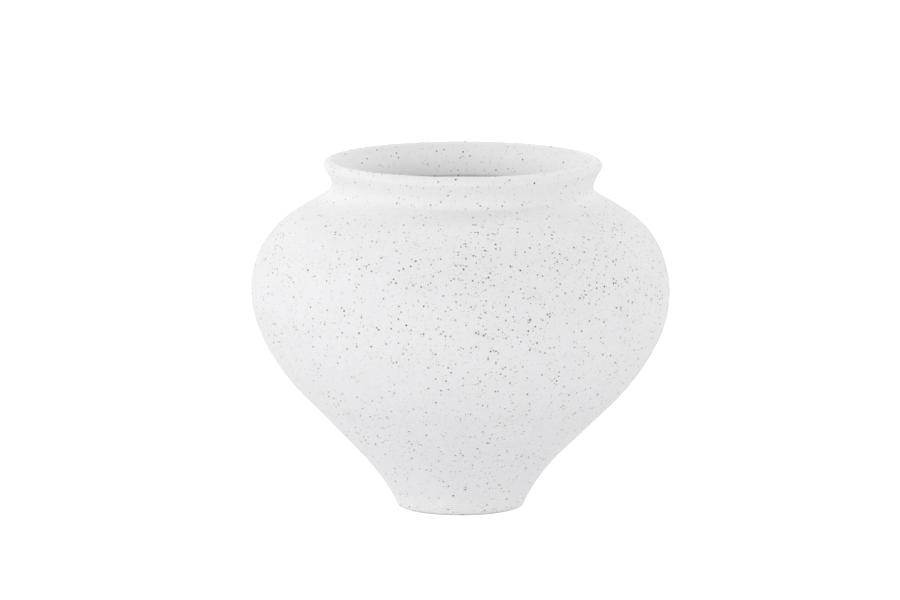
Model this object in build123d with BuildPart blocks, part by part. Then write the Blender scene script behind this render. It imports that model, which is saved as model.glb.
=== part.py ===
"""Speckled stoneware vase: a wide round belly on a small foot, with a short neck and a flared lip.

Millimetres, +Z up, origin at the centre of the foot's underside. Everything is a body of revolution
about Z. The surface is one line of tangent arcs and straights. It starts at the foot, climbs the
outside, turns over the lip and comes down the inside to the middle of the floor. The glazes lie under
that line and the clay lies under the glazes.
"""

import os
from math import copysign, cos, radians

from build123d import *

WALL = 4.8  # thickness of the wall, glazes included; the lip is a half round across it
GLAZE = 0.4  # thickness of each glaze

FOOT_FACE_RADIUS = 22.9  # where the flat underside ends and the rounded foot edge begins
FOOT_EDGE_RADIUS = 1.9
BARE_TURN = 30.0  # part of the foot edge left bare, so that no glaze touches the table

FOOT_RING_WIDTH = 5.0  # flat ring that the vase stands on
FOOT_RECESS = 1.5  # how far the underside is turned away inside the ring

FLOOR_HEIGHT = 6.5  # top of the floor inside, above the table
FLOOR_TURN = 9.4  # how far the inside follows the foot's sweep before it rounds into the floor

# The outside, from the foot to the lip. A stretch is (radius, turn) for an arc or (length, 0) for a
# straight. Turns are in degrees and positive to the left, which is the side that the clay is on.
OUTSIDE = [
    (FOOT_EDGE_RADIUS, BARE_TURN),
    (FOOT_EDGE_RADIUS, 34.0),
    (1.4, 0),  # foot, turned straight
    (71.4, -18.8),  # foot sweeping out into the body
    (30.5, 0),  # lower body
    (80.0, 18.1),
    (51.8, 11.5),
    (38.6, 30.4),  # belly, widest half way along
    (34.0, 43.2),  # upper belly
    (14.0, 0),  # shoulder
    (3.1, -46.7),  # corner at the base of the neck
    (7.0, -43.4),  # throat
    (3.0, 0),  # flare below the lip
]
GLAZED_FROM = 1  # first glazed stretch
SWEEP = 3  # the foot's sweep
THROAT = 11

# The inside leaves the neck on a wider curve than the outside's, which makes the shoulder thicker, and
# a tighter curve in the belly brings the wall back to its thickness.
INNER_THROAT_RADIUS = 13.0
INNER_BELLY_RADIUS = 32.1
INNER_THROAT = 1  # these two stretches, counted from the lip
INNER_BELLY = 5


def inner_side(stretches):
    """The stretches of a surface one wall inside the given ones, walked the other way."""
    return [
        (size - copysign(WALL, turn) if turn else size, -turn)
        for size, turn in reversed(stretches)
    ]


def pens(stretches, point, heading):
    """Where each stretch starts and its heading there, and the same for the end of the last one."""
    found = [(point, heading)]
    for size, turn in stretches:
        ahead = Vector(1, 0).rotate(Axis.Z, heading)
        if turn:
            to_centre = ahead.rotate(Axis.Z, copysign(90, turn)) * size
            point = point + to_centre - to_centre.rotate(Axis.Z, turn)
        else:
            point = point + ahead * size
        heading += turn
        found.append((point, heading))
    return found


# Over the lip and down the inside as far as the foot's sweep, then round into the floor.
START = Vector(FOOT_FACE_RADIUS, 0)
INSIDE = inner_side(OUTSIDE[SWEEP + 1 :]) + [(OUTSIDE[SWEEP][0] + WALL, FLOOR_TURN)]
INSIDE[INNER_THROAT] = (INNER_THROAT_RADIUS, INSIDE[INNER_THROAT][1])
INSIDE[INNER_BELLY] = (INNER_BELLY_RADIUS, INSIDE[INNER_BELLY][1])
SURFACE = OUTSIDE + [(WALL / 2, 180)] + INSIDE
corner, corner_heading = pens(SURFACE, START, 0)[-1]
floor_turn = 180 - corner_heading
floor_radius = (corner.Y - FLOOR_HEIGHT) / (1 - cos(radians(floor_turn)))
SURFACE.append((floor_radius, floor_turn))
SURFACE.append((pens(SURFACE, START, 0)[-1][0].X, 0))
PENS = pens(SURFACE, START, 0)

LINED_FROM = len(OUTSIDE) + 1 + len(OUTSIDE) - THROAT  # the liner takes over below the inner throat


def under(number, depth):
    """The start of a stretch, moved depth into the clay."""
    point, heading = PENS[number]
    return point + Vector(0, depth).rotate(Axis.Z, heading)


def draw_surface(first, last, depth):
    """Draw the stretches from first up to last, moved depth into the clay."""
    for number in range(first, last):
        size, turn = SURFACE[number]
        heading = PENS[number][1]
        if turn:
            ahead = Vector(1, 0).rotate(Axis.Z, heading)
            JernArc(under(number, depth), ahead, size - copysign(depth, turn), turn)
        else:
            PolarLine(under(number, depth), size, heading)


def draw_glaze(first, last):
    """Draw the outline of a glaze that covers the stretches from first up to last."""
    draw_surface(first, last, 0)
    draw_surface(first, last, GLAZE)
    Line(under(first, 0), under(first, GLAZE))
    Line(under(last, 0), under(last, GLAZE))


os.makedirs("parts", exist_ok=True)

# Clay body: thrown and turned in one piece, with a dry foot ring.
ring_inner_radius = FOOT_FACE_RADIUS - FOOT_RING_WIDTH
recess_radius = ring_inner_radius - FOOT_RECESS
floor_middle = under(len(SURFACE), GLAZE)
with BuildPart() as clay_body:
    with BuildSketch(Plane.XZ):
        with BuildLine():
            Polyline(
                floor_middle,
                (0, FOOT_RECESS),
                (recess_radius, FOOT_RECESS),
                (ring_inner_radius, 0),
                START,
            )
            draw_surface(0, GLAZED_FROM, 0)
            Line(under(GLAZED_FROM, 0), under(GLAZED_FROM, GLAZE))
            draw_surface(GLAZED_FROM, len(SURFACE), GLAZE)
        make_face()
    revolve(axis=Axis.Z)
clay_body.part.label = "clay_body"
export_step(clay_body.part, "parts/clay_body.step")

# Outer glaze: matte white, from just above the foot's underside, over the lip and into the throat.
with BuildPart() as outer_glaze:
    with BuildSketch(Plane.XZ):
        with BuildLine():
            draw_glaze(GLAZED_FROM, LINED_FROM)
        make_face()
    revolve(axis=Axis.Z)
outer_glaze.part.label = "outer_glaze"
export_step(outer_glaze.part, "parts/outer_glaze.step")

# Liner glaze: the coat that holds water, from the throat down to the middle of the floor.
with BuildPart() as liner_glaze:
    with BuildSketch(Plane.XZ):
        with BuildLine():
            draw_glaze(LINED_FROM, len(SURFACE))
        make_face()
    revolve(axis=Axis.Z)
liner_glaze.part.label = "liner_glaze"
export_step(liner_glaze.part, "parts/liner_glaze.step")
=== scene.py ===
"""The looks of a speckled stoneware vase: round belly, small foot, short neck and flared lip.

The scene is in metres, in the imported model's frame. The outline of the vase is in millimetres, as
tangent arcs and straights, and is turned about Z into one closed mesh for the clay and one for each
glaze. The clay's and the glazes' iron specks are procedural and sit at the same places in all three.
"""

import math

import bpy
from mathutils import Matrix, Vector


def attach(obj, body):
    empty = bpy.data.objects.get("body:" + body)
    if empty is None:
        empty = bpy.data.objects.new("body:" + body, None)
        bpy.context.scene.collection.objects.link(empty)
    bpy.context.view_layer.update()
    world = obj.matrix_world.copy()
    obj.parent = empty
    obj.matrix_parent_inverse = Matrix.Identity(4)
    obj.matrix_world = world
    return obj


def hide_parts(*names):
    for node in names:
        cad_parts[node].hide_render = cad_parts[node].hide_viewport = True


MM = 0.001

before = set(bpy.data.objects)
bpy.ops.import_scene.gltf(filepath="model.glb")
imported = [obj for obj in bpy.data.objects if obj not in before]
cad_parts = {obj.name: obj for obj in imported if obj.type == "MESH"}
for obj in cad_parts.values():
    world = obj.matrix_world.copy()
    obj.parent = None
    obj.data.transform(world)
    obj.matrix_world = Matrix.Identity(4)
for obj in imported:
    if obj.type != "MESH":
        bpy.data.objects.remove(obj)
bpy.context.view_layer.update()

# ---------------------------------------------------------------- outline

WALL = 4.8  # thickness of the wall, glazes included
GLAZE = 0.4  # thickness of each glaze
FOOT_FACE_RADIUS = 22.9
FOOT_EDGE_RADIUS = 1.9
FOOT_RING_WIDTH = 5.0
FOOT_RECESS = 1.5
FLOOR_HEIGHT = 6.5
FLOOR_TURN = 9.4

# From the foot to the lip: (radius, turn) for an arc, (length, 0) for a straight. Turns are in degrees,
# positive to the left, where the clay is.
OUTSIDE = [
    (FOOT_EDGE_RADIUS, 30.0),
    (FOOT_EDGE_RADIUS, 34.0),
    (1.4, 0),  # foot, turned straight
    (71.4, -18.8),  # foot sweeping out into the body
    (30.5, 0),  # lower body
    (80.0, 18.1),
    (51.8, 11.5),
    (38.6, 30.4),  # belly
    (34.0, 43.2),  # upper belly
    (14.0, 0),  # shoulder
    (3.1, -46.7),  # corner at the base of the neck
    (7.0, -43.4),  # throat
    (3.0, 0),  # flare below the lip
]
GLAZED_FROM = 1
SWEEP = 3
THROAT = 11
INNER_THROAT_RADIUS = 13.0
INNER_BELLY_RADIUS = 32.1
INNER_THROAT = 1
INNER_BELLY = 5


def inner_side(stretches):
    """The stretches of a surface one wall inside the given ones, walked the other way."""
    return [
        (size - math.copysign(WALL, turn) if turn else size, -turn)
        for size, turn in reversed(stretches)
    ]


def unit(heading):
    return Vector((math.cos(math.radians(heading)), math.sin(math.radians(heading))))


def walk(pen, stretch, share=1.0):
    """The pen, (point, heading), after part of a stretch."""
    (point, heading), (size, turn) = pen, stretch
    if not turn:
        return point + unit(heading) * size * share, heading
    centre = point + unit(heading + math.copysign(90, turn)) * size
    heading += turn * share
    return centre - unit(heading + math.copysign(90, turn)) * size, heading


def pens(stretches):
    """The pen at the start of each stretch and after the last."""
    found = [(Vector((FOOT_FACE_RADIUS, 0)), 0.0)]
    for stretch in stretches:
        found.append(walk(found[-1], stretch))
    return found


INSIDE = inner_side(OUTSIDE[SWEEP + 1 :]) + [(OUTSIDE[SWEEP][0] + WALL, FLOOR_TURN)]
INSIDE[INNER_THROAT] = (INNER_THROAT_RADIUS, INSIDE[INNER_THROAT][1])
INSIDE[INNER_BELLY] = (INNER_BELLY_RADIUS, INSIDE[INNER_BELLY][1])
SURFACE = OUTSIDE + [(WALL / 2, 180)] + INSIDE
corner, corner_heading = pens(SURFACE)[-1]
floor_turn = 180 - corner_heading
floor_radius = (corner.y - FLOOR_HEIGHT) / (1 - math.cos(math.radians(floor_turn)))
SURFACE.append((floor_radius, floor_turn))
SURFACE.append((pens(SURFACE)[-1][0].x, 0))
PENS = pens(SURFACE)
LINED_FROM = len(OUTSIDE) + 1 + len(OUTSIDE) - THROAT


def samples(first, last, depth, longest, turn_limit):
    """(r, z) along the stretches from first up to last, moved depth into the clay."""
    found = []
    for number in range(first, last):
        size, turn = SURFACE[number]
        length = size * math.radians(abs(turn)) if turn else size
        count = max(1, math.ceil(length / longest), math.ceil(abs(turn) / turn_limit))
        for i in range(count + (number == last - 1)):
            point, heading = walk(PENS[number], SURFACE[number], i / count)
            point = point + unit(heading + 90) * depth
            found.append((point.x, point.y))
    return found


# ---------------------------------------------------------------- meshes

SEGMENTS = 320

# The hand-thrown form's small departures from a true turned shape.
DRIFT = [  # (height, how far the section is off the axis toward +X)
    (0, 0.05),
    (20, 0.0),
    (30, 0.42),
    (40, 0.85),
    (50, 0.6),
    (66, 0.42),
    (80, 0.1),
    (93, -0.1),
    (106, 0.15),
    (119, 0.15),
    (127, 1.1),
    (131, 1.0),
    (135, 0.5),
]
SWAY = 0.25  # how far the section is off the axis toward +Y and -Y
OUT_OF_ROUND = 0.002  # share of the radius
FULLNESS = 0.17  # how much larger the lower body's radius is
RIM_DIP = 0.32  # how much lower the front of the rim is than the back
RIM_RADIUS = 53

TURNING_PITCH = 0.9  # grooves that the trimming tool left at the foot
TURNING_DEPTH = 0.085
TURNED_TO = 9.0


def ease(low, high, value):
    """0 up to low, 1 from high on, and smooth between them."""
    share = min(1, max(0, (value - low) / (high - low)))
    return share * share * (3 - 2 * share)


def drift(z):
    for (low, start), (high, end) in zip(DRIFT, DRIFT[1:]):
        if z <= high:
            return start + (end - start) * ease(low, high, z)
    return DRIFT[-1][1]


def handmade(x, y, z):
    """A point of the true turned shape, moved to where it is on the hand-made one."""
    angle, r = math.atan2(y, x), math.hypot(x, y)
    swell = 1 + OUT_OF_ROUND * math.cos(2 * angle - 0.9) * ease(4, 60, z)
    swell += FULLNESS / max(r, 20) * ease(8, 13, z) * (1 - ease(40, 52, z))
    dip = RIM_DIP / 2 * (1 - y / RIM_RADIUS) * ease(118, 131, z)
    return x * swell + drift(z), y * swell + SWAY * math.sin(z / 30), z - dip


def groove(z):
    """How deep the turning grooves are at that height on the foot."""
    wave = 0.5 - 0.5 * math.cos(2 * math.pi * z / TURNING_PITCH)
    uneven = 0.75 + 0.25 * math.sin(2.3 * z)
    return TURNING_DEPTH * wave * uneven * ease(0.6, 1.4, z) * (1 - ease(5, TURNED_TO, z))


def lathe(name, outline):
    """A closed mesh from an outline of (r, z), turned about Z and then made uneven by hand."""
    verts, faces, rings = [], [], []
    for r, z in outline:
        if r < 1e-6:
            rings.append([len(verts)] * SEGMENTS)
            verts.append(Vector(handmade(0, 0, z)) * MM)
            continue
        rings.append(list(range(len(verts), len(verts) + SEGMENTS)))
        for s in range(SEGMENTS):
            a = 2 * math.pi * s / SEGMENTS
            verts.append(Vector(handmade(r * math.cos(a), r * math.sin(a), z)) * MM)
    for low, high in zip(rings, rings[1:] + rings[:1]):
        for s in range(SEGMENTS):
            t = (s + 1) % SEGMENTS
            corners = dict.fromkeys((low[s], low[t], high[t], high[s]))
            if len(corners) > 2:
                faces.append(tuple(corners))
    mesh = bpy.data.meshes.new(name)
    mesh.from_pydata(verts, [], faces)
    mesh.validate()
    mesh.shade_smooth()
    obj = bpy.data.objects.new(name, mesh)
    bpy.context.scene.collection.objects.link(obj)
    return obj


def glaze(first, last):
    """The outline of a glaze, face and back."""
    return samples(first, last, 0, 2, 6), samples(first, last, GLAZE, 4, 12)[::-1]


def turned_foot():
    """The foot's face, with its turning grooves, up to the height where the sweep is smooth again."""
    close = samples(GLAZED_FROM, SWEEP + 1, 0, 0.13, 6)
    return [(r - groove(z), z) for r, z in close if z < TURNED_TO]


def make_vase():
    face, back = glaze(GLAZED_FROM, LINED_FROM)
    foot = turned_foot()
    face = foot + [(r, z) for r, z in face if z >= TURNED_TO or r < FOOT_FACE_RADIUS]
    outer = lathe("matte_outer_glaze", face + back)
    face, back = glaze(LINED_FROM, len(SURFACE))
    liner = lathe("satin_liner_glaze", face + back)
    ring = FOOT_FACE_RADIUS - FOOT_RING_WIDTH
    recess = ring - FOOT_RECESS
    steps = round(recess / 0.16)
    under = [(recess * i / steps, FOOT_RECESS) for i in range(steps + 1)]
    under = [(r, z + 0.03 * math.sin(2 * math.pi * r / 1.3) * ease(0, 3, r)) for r, z in under]
    edge = samples(0, GLAZED_FROM, 0, 1, 6)
    core = samples(GLAZED_FROM, len(SURFACE), GLAZE, 3, 8)
    clay = lathe("stoneware_body", under + [(ring, 0)] + edge + core)
    return clay, outer, liner


clay, outer, liner = make_vase()

# ---------------------------------------------------------------- materials


def add(tree, kind, inputs=(), **settings):
    """A shader node with its settings made and its inputs set or linked."""
    node = tree.nodes.new("ShaderNode" + kind)
    for name, value in settings.items():
        setattr(node, name, value)
    for key, value in dict(inputs).items():
        if isinstance(value, bpy.types.NodeSocket):
            tree.links.new(value, node.inputs[key])
        else:
            node.inputs[key].default_value = value
    return node


def maths(tree, operation, a, b=0.0):
    return add(tree, "Math", {0: a, 1: b}, operation=operation).outputs[0]


def remap(tree, value, low, high, to_low, to_high, interpolation="LINEAR"):
    """value taken from the range low to high into to_low to to_high, and clamped there."""
    inputs = {0: value, 1: low, 2: high, 3: to_low, 4: to_high}
    return add(tree, "MapRange", inputs, interpolation_type=interpolation).outputs[0]


def noise(tree, place, pitch, detail=2.0, roughness=0.5):
    """Smooth noise from 0 to 1 with features pitch millimetres apart."""
    inputs = {"Vector": place, "Scale": 1 / pitch, "Detail": detail, "Roughness": roughness}
    return add(tree, "TexNoise", inputs).outputs[0]


def shifted(tree, place, offset):
    return add(tree, "VectorMath", {0: place, 1: offset}, operation="ADD").outputs[0]


def mix(tree, share, a, b):
    """Colour a, with that share of colour b over it."""
    node = add(tree, "Mix", {0: share}, data_type="RGBA")
    for socket, value in ((node.inputs[6], a), (node.inputs[7], b)):
        if isinstance(value, bpy.types.NodeSocket):
            tree.links.new(value, socket)
        else:
            socket.default_value = (*value, 1)
    return node.outputs[2]


def ramp(tree, value, stops):
    """A colour ramp through (position, (r, g, b)) stops."""
    node = add(tree, "ValToRGB", {0: value})
    elements = node.color_ramp.elements
    while len(elements) < len(stops):
        elements.new(0.5)
    for element, (position, colour) in zip(elements, stops):
        element.position = position
        element.color = (*colour, 1)
    return node.outputs[0]


class Grains:
    """Round grains scattered through the ceramic, at most one to a cell, as its surface cuts them.

    share is how many of the cells hold a grain. Radii are in millimetres. tone is a random number
    from 0 to 1, the same all over a grain.
    """

    def __init__(self, tree, place, cell, smallest, largest, skew, share):
        self.tree = tree
        self.cell = cell
        voronoi = add(tree, "TexVoronoi", {"Vector": place, "Scale": 1 / cell})
        random = add(tree, "SeparateColor", {0: voronoi.outputs["Color"]}).outputs
        self.distance = voronoi.outputs["Distance"]
        self.present = maths(tree, "LESS_THAN", random[0], share)
        size = maths(tree, "POWER", random[1], skew)
        self.radius = remap(tree, size, 0, 1, smallest / cell, largest / cell)
        self.tone = random[2]

    def mask(self, blur, grow=0.0):
        """1 inside the grains and 0 outside, blurred over that many millimetres."""
        depth = maths(self.tree, "SUBTRACT", self.radius, self.distance)
        low, high = (-blur - grow) / self.cell, (blur - grow) / self.cell
        inside = remap(self.tree, depth, low, high, 0, 1, "SMOOTHSTEP")
        return maths(self.tree, "MULTIPLY", inside, self.present)


IRON = [  # the flecks' colours, by their tone
    (0.0, (0.012, 0.010, 0.009)),
    (0.55, (0.040, 0.026, 0.018)),
    (0.76, (0.135, 0.068, 0.033)),
    (1.0, (0.360, 0.190, 0.085)),
]
BURIED_IRON = (0.19, 0.178, 0.172)
RUST = (0.72, 0.49, 0.31)

# Where the iron is crowded: (middle, how far it reaches) in millimetres.
CROWDS = [
    ((12, -78, 92), 54),
    ((-66, 44, 70), 50),
    ((60, -40, 98), 36),
    ((58, 56, 84), 46),
]


def crowding(tree, place, height):
    """The share of cells that hold a grain there: fewer on the neck, more in the crowds."""
    thick = noise(tree, place, 24, 2)
    share = remap(tree, thick, 0.3, 0.7, 0.11, 0.25)
    for middle, reach in CROWDS:
        away = add(tree, "VectorMath", {0: place, 1: middle}, operation="DISTANCE").outputs["Value"]
        near = remap(tree, away, reach, 0, 0, 0.28, "SMOOTHSTEP")
        share = maths(tree, "ADD", share, near)
    return maths(tree, "MULTIPLY", share, remap(tree, height, 110, 122, 1, 0.64))


# Linear colours. The pairs are a ceramic's lighter and darker patches.
GLAZE_WHITE = ((0.872, 0.860, 0.878), (0.826, 0.816, 0.834))
PAINTED_GROOVE_LIGHT = (0.95, 0.952, 0.942)  # painted light on the foot's grooved band
SHADE_TINT_WHITE = (0.868, 0.866, 0.852)  # painted warm tint of the shade, on the neck and inside it
CLAY_BEIGE = ((0.67, 0.63, 0.57), (0.57, 0.53, 0.47))


def painted_foot_shading(tree, place, height, base):
    """The glaze's colour on the foot: painted light makes it whiter in the grooves, and the clay's darker
    colour is painted as shade on the ridges and along the bottom edge.
    """
    # Painted light: the grooved band of the foot is made whiter.
    band = remap(tree, height, 5, TURNED_TO, 1, 0, "SMOOTHSTEP")
    base = mix(tree, maths(tree, "MULTIPLY", band, 0.5), base, PAINTED_GROOVE_LIGHT)
    # Painted shade: the clay's darker colour, stronger towards the bottom edge.
    edge = remap(tree, height, 0.3, 1.8, 0.5, 0, "SMOOTHSTEP")
    # Painted shade on the ridges of the turning grooves, in patches, standing in for their relief's
    # shading.
    waver = maths(tree, "MULTIPLY", noise(tree, place, 9, 1), 0.35)
    turns = maths(tree, "ADD", maths(tree, "DIVIDE", height, TURNING_PITCH), waver)
    ridge_shade = maths(tree, "COSINE", maths(tree, "MULTIPLY", turns, 2 * math.pi))
    patchy_shade_and_roughness = remap(tree, noise(tree, place, 3.5, 2), 0.35, 0.6, 0.1, 0.38)
    ridge_shade = maths(tree, "MULTIPLY", maths(tree, "MAXIMUM", ridge_shade, 0), maths(tree, "MULTIPLY", patchy_shade_and_roughness, band))
    return mix(tree, maths(tree, "MAXIMUM", edge, ridge_shade), base, CLAY_BEIGE[1])


def ragged(tree, place):
    """The place, moved a little, so that round grains there come out uneven."""
    random = add(tree, "TexNoise", {"Vector": place, "Scale": 3.2, "Detail": 1.0}).outputs["Color"]
    centred = add(tree, "VectorMath", {0: random, 1: (0.5, 0.5, 0.5)}, operation="SUBTRACT").outputs[0]
    move = add(tree, "VectorMath", {0: centred, 3: 0.22}, operation="SCALE").outputs[0]
    return add(tree, "VectorMath", {0: place, 1: move}, operation="ADD").outputs[0]


def stoneware(name, colour, shade, roughness, relief, turned=False):
    """A speckled ceramic: colour and shade are its lighter and darker patches.

    relief is the height of its fine bumps in millimetres. turned is for the glaze on the turned foot,
    with its painted light and shade.
    """
    material = bpy.data.materials.new(name)
    material.use_nodes = True
    tree = material.node_tree
    shader = tree.nodes["Principled BSDF"]
    coordinates = add(tree, "TexCoord").outputs["Object"]
    place = add(tree, "VectorMath", {0: coordinates, 3: 1 / MM}, operation="SCALE").outputs[0]

    warped = ragged(tree, place)
    height = add(tree, "SeparateXYZ", {0: place}).outputs[2]
    share = crowding(tree, place, height)

    cloud = remap(tree, noise(tree, place, 9, 3, 0.6), 0.3, 0.7, 0, 0.6)
    mottle = remap(tree, noise(tree, place, 0.9, 2, 0.7), 0.3, 0.7, 0, 0.4)
    base = mix(tree, maths(tree, "ADD", cloud, mottle), colour, shade)
    # Painted shade tint: warmer towards the top, on the neck and inside it.
    base = mix(tree, remap(tree, height, 108, 124, 0, 0.6, "SMOOTHSTEP"), base, SHADE_TINT_WHITE)
    if turned:
        base = painted_foot_shading(tree, place, height, base)

    # Grains under the surface, which show as faint marks.
    buried = maths(tree, "ADD", share, 0.45)
    haze = Grains(tree, shifted(tree, warped, (31, 7, 3)), 0.9, 0.1, 0.36, 1.3, buried)
    faint = remap(tree, maths(tree, "POWER", haze.tone, 1.8), 0, 1, 0.04, 0.42)
    base = mix(tree, maths(tree, "MULTIPLY", haze.mask(0.12), faint), base, BURIED_IRON)

    # The finest specks.
    finest = maths(tree, "ADD", share, 0.12)
    dust = Grains(tree, shifted(tree, warped, (5, 13, 41)), 0.6, 0.03, 0.13, 1.6, finest)
    amount = maths(tree, "MULTIPLY", dust.mask(0.03), remap(tree, dust.tone, 0, 1, 0.25, 0.85))
    base = mix(tree, amount, base, IRON[1][1])

    # The larger flecks. Some are rusty, with a stain round them.
    fleck = Grains(tree, warped, 0.92, 0.07, 0.43, 2.4, share)
    rusty = remap(tree, fleck.tone, 0.55, 0.8, 0, 1)
    halo = maths(tree, "MULTIPLY", fleck.mask(0.22, 0.14), remap(tree, rusty, 0, 1, 0.04, 0.36))
    base = mix(tree, halo, base, RUST)
    iron = ramp(tree, fleck.tone, IRON)
    amount = maths(tree, "MULTIPLY", fleck.mask(0.02), remap(tree, rusty, 0, 1, 0.97, 0.75))
    base = mix(tree, amount, base, iron)
    tree.links.new(base, shader.inputs["Base Color"])

    peel = maths(tree, "MULTIPLY", noise(tree, place, 2.4, 1), 0.8)
    bumps = maths(tree, "ADD", peel, maths(tree, "MULTIPLY", noise(tree, place, 0.35, 2), 0.2))
    bump = add(tree, "Bump", {"Height": bumps, "Distance": relief * MM}).outputs[0]
    tree.links.new(bump, shader.inputs["Normal"])
    patchy_shade_and_roughness = remap(tree, noise(tree, place, 6, 3), 0.3, 0.7, roughness - 0.05, roughness + 0.05)
    tree.links.new(patchy_shade_and_roughness, shader.inputs["Roughness"])
    return material


# ---------------------------------------------------------------- pieces

FINISHES = (
    (clay, "clay_body", "clay", stoneware("dry_stoneware", *CLAY_BEIGE, 0.88, 0.06)),
    (outer, "outer_glaze", "outer_glaze", stoneware("matte_white_glaze", *GLAZE_WHITE, 0.6, 0.025, True)),
    (liner, "liner_glaze", "liner_glaze", stoneware("satin_white_glaze", *GLAZE_WHITE, 0.45, 0.02)),
)
for piece, node, slot, material in FINISHES:
    piece.data.materials.append(material)
    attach(piece, "root")
    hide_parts(node)

# ---------------------------------------------------------------- stage

CAMERA_DISTANCE = 2.4
CAMERA_ELEVATION = 9.202  # degrees above the middle of the vase
MIDDLE_HEIGHT = 0.066
AIM = Vector((-0.00395, 0, 0.07936))
camera_data = bpy.data.cameras.new("camera")
camera_data.lens = 254.16
camera_data.sensor_width = 36
camera_data.clip_end = 100
camera = bpy.data.objects.new("camera", camera_data)
bpy.context.scene.collection.objects.link(camera)
rise = CAMERA_DISTANCE * math.tan(math.radians(CAMERA_ELEVATION))
camera.location = (0, -CAMERA_DISTANCE, MIDDLE_HEIGHT + rise)
camera.rotation_euler = (AIM - camera.location).to_track_quat("-Z", "Y").to_euler()
bpy.context.scene.camera = camera

FLOOR_HEIGHT_M = -0.00005  # just under the foot
floor_corners = [(x, y, FLOOR_HEIGHT_M) for x, y in ((-30, -30), (30, -30), (30, 30), (-30, 30))]
floor_mesh = bpy.data.meshes.new("floor")
floor_mesh.from_pydata(floor_corners, [], [(0, 1, 2, 3)])
floor = bpy.data.objects.new("floor", floor_mesh)
bpy.context.scene.collection.objects.link(floor)
floor_material = bpy.data.materials.new("white_sweep")
floor_material.use_nodes = True
floor_tree = floor_material.node_tree
floor_shader = floor_tree.nodes["Principled BSDF"]
floor_shader.inputs["Base Color"].default_value = (0.85, 0.85, 0.85, 1)
floor_shader.inputs["Roughness"].default_value = 1.0
floor_shader.inputs["Specular IOR Level"].default_value = 0.0
floor_shader.inputs["Emission Color"].default_value = (1, 1, 1, 1)
# The floor and the sky are white to the camera and dimmer to the light that falls on the vase.
seen = add(floor_tree, "LightPath").outputs["Is Camera Ray"]
floor_tree.links.new(remap(floor_tree, seen, 0, 1, 0.08, 0.75), floor_shader.inputs["Emission Strength"])
floor_mesh.materials.append(floor_material)

world = bpy.data.worlds.new("studio")
bpy.context.scene.world = world
world.use_nodes = True
sky = world.node_tree.nodes["Background"]
sky.inputs["Color"].default_value = (1, 1, 1, 1)
seen = add(world.node_tree, "LightPath").outputs["Is Camera Ray"]
world.node_tree.links.new(seen, sky.inputs["Strength"])


SOFTBOX_DISTANCE = 2.2


def softbox(azimuth, elevation, watts, width=1.4, lift=0.0):
    """A round softbox, aimed at the vase and raised by lift.

    Azimuth is in degrees from the camera's side, positive to the camera's right.
    """
    data = bpy.data.lights.new("softbox", "AREA")
    data.shape = "DISK"
    data.size = width
    data.energy = watts
    light = bpy.data.objects.new("softbox", data)
    light.visible_camera = False
    bpy.context.scene.collection.objects.link(light)
    azimuth, elevation = math.radians(azimuth), math.radians(elevation)
    away = Vector((math.sin(azimuth), -math.cos(azimuth), 0)) * math.cos(elevation)
    away.z = math.sin(elevation)
    middle = Vector((0, 0, 0.07))
    light.location = middle + away * SOFTBOX_DISTANCE + Vector((0, 0, lift))
    light.rotation_euler = (middle - light.location).to_track_quat("-Z", "Y").to_euler()


for ring_azimuth in range(0, 360, 30):
    softbox(ring_azimuth, 25, 6.5)
softbox(-60, 8, 5.7, lift=0.45)
softbox(-120, 65, 10)
softbox(120, 60, 6.6, width=0.5)

view = bpy.context.scene.view_settings
view.view_transform = "Standard"
view.gamma = 1.25
